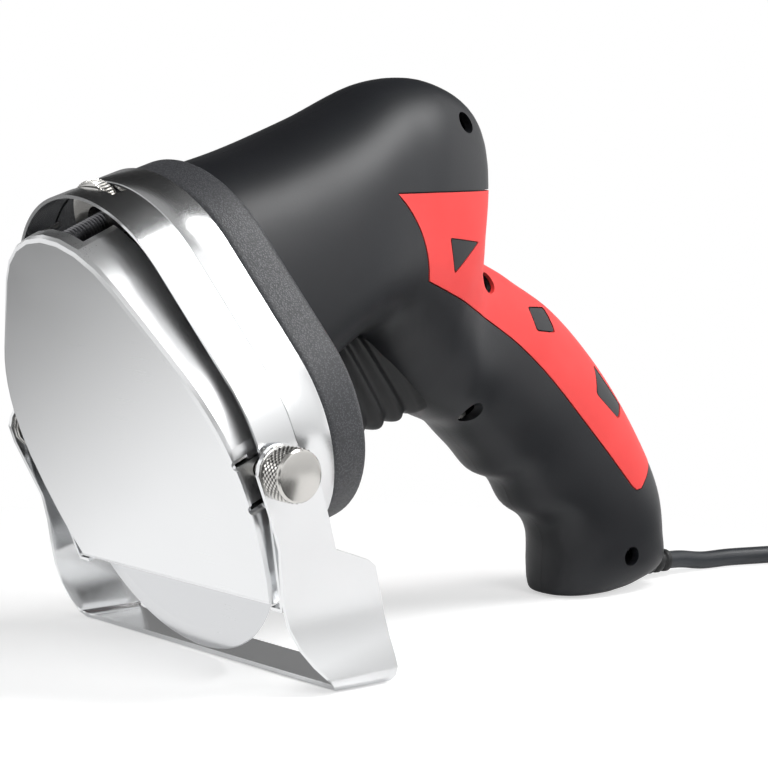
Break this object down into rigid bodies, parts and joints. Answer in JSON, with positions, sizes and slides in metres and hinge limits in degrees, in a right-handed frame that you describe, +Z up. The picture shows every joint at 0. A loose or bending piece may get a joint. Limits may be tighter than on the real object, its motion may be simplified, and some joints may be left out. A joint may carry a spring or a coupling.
{
  "type": "electric kebab slicer",
  "caption": "Hand-held electric kebab slicer: a round blade behind a tilting steel guard plate, a bent steel stand, a motor barrel and a pistol grip with red inlays.",
  "frame": {"origin": "On the floor, under the middle of the stand's bar.", "axes": "+Y runs from the guard plate back to the grip and the lead, +Z is up, +X is the side with the clamp knob."},
  "size_m": [0.1709, 0.4106, 0.1626],
  "materials": {
    "polished_steel": "polished stainless steel sheet",
    "plated_steel": "bright nickel plate",
    "bare_steel": "machined",
    "copper": "enamelled copper",
    "cast_black": "fine speckled charcoal paint on cast aluminium",
    "charcoal_plastic": "fine matte texture",
    "brown_plastic": "moulded phenolic",
    "carbon": "pressed carbon",
    "red_rubber": "soft matte overmould",
    "black_rubber": "soft matte",
    "cord_rubber": "satin sheath"
  },
  "bodies": {
    "frame": {"guard_sleeve": "polished_steel", "steel_ring": "polished_steel", "pivot_screw": "plated_steel", "pivot_washer_right": "plated_steel", "pivot_washer_left": "plated_steel", "wheel_clip": "bare_steel", "gear_housing": "cast_black", "gear_cover": "cast_black", "cover_screw_1": "plated_steel", "cover_screw_2": "plated_steel", "cover_screw_3": "plated_steel", "cover_screw_4": "plated_steel", "spindle_bearing_front": "bare_steel", "spindle_bearing_rear": "bare_steel", "idler_pin": "bare_steel", "housing_right": "charcoal_plastic", "housing_left": "charcoal_plastic", "grip_right": "red_rubber", "grip_left": "red_rubber", "housing_screw_1": "plated_steel", "housing_screw_2": "plated_steel", "housing_screw_3": "plated_steel", "housing_screw_4": "plated_steel", "stator": "bare_steel", "field_coil_right": "copper", "field_coil_left": "copper", "motor_bearing_front": "bare_steel", "motor_bearing_rear": "bare_steel", "brush_holder_right": "brown_plastic", "brush_holder_left": "brown_plastic", "brush_right": "carbon", "brush_left": "carbon", "switch_body": "brown_plastic", "trigger_pin": "bare_steel", "trigger_spring": "bare_steel", "trigger_boot": "black_rubber", "inner_lead": "cord_rubber", "strain_relief": "cord_rubber", "cord": "cord_rubber", "cord_coil": "cord_rubber", "cord_tie": "black_rubber", "plug": "cord_rubber"},
    "blade_set": {"blade": "polished_steel", "blade_nut": "plated_steel", "blade_spindle": "bare_steel", "spindle_gear": "bare_steel"},
    "idler": {"idler_gear": "bare_steel"},
    "rotor": {"motor_shaft": "bare_steel", "armature": "bare_steel", "commutator": "copper", "fan": "charcoal_plastic"},
    "wheel": {"thumbwheel": "plated_steel"},
    "guard": {"front_plate": "polished_steel", "adjust_rod": "plated_steel"},
    "stand": {"stand": "polished_steel"},
    "knob": {"knob": "plated_steel"},
    "trigger": {"trigger": "charcoal_plastic"}
  },
  "joints": [
    {"name": "blade_spin", "type": "hinge", "parent": "frame", "child": "blade_set", "pos_m": [0, -0.0313, 0.0475], "axis": [0, 0.9563, 0.2924], "continuous": true},
    {"name": "idler_spin", "type": "hinge", "parent": "frame", "child": "idler", "pos_m": [0.0034, -0.03825, 0.07022], "axis": [0, 0.9563, 0.2924], "continuous": true},
    {"name": "motor_spin", "type": "hinge", "parent": "frame", "child": "rotor", "pos_m": [0, -0.04475, 0.09149], "axis": [0, 0.9563, 0.2924], "continuous": true},
    {"name": "wheel_turn", "type": "hinge", "parent": "frame", "child": "wheel", "pos_m": [0, -0.05352, 0.12018], "axis": [0, 0.9563, 0.2924], "range_deg": [-2390, 796]},
    {"name": "guard_tilt", "type": "hinge", "parent": "frame", "child": "guard", "pos_m": [0, -0.02755, 0.06088], "axis": [1, 0, 0], "range_deg": [-6, 2]},
    {"name": "stand_swing", "type": "hinge", "parent": "frame", "child": "stand", "pos_m": [0, -0.02755, 0.06088], "axis": [1, 0, 0], "range_deg": [-45, 20]},
    {"name": "knob_turn", "type": "hinge", "parent": "frame", "child": "knob", "pos_m": [0, -0.02755, 0.06088], "axis": [1, 0, 0], "range_deg": [0, 360]},
    {"name": "trigger_pull", "type": "hinge", "parent": "frame", "child": "trigger", "pos_m": [0, 0.04274, 0.09262], "axis": [1, 0, 0], "range_deg": [0, 8], "stiffness_Nm_per_rad": 0.8, "springref_deg": -6.88, "deforming": ["trigger_spring", "trigger_boot"]}
  ],
  "couplings": [
    {"joint": "idler_spin", "follows": "blade_spin", "ratio": -1.4},
    {"joint": "motor_spin", "follows": "blade_spin", "ratio": 4.9},
    {"joint": "guard_tilt", "follows": "wheel_turn", "ratio": 0.0025097}
  ]
}
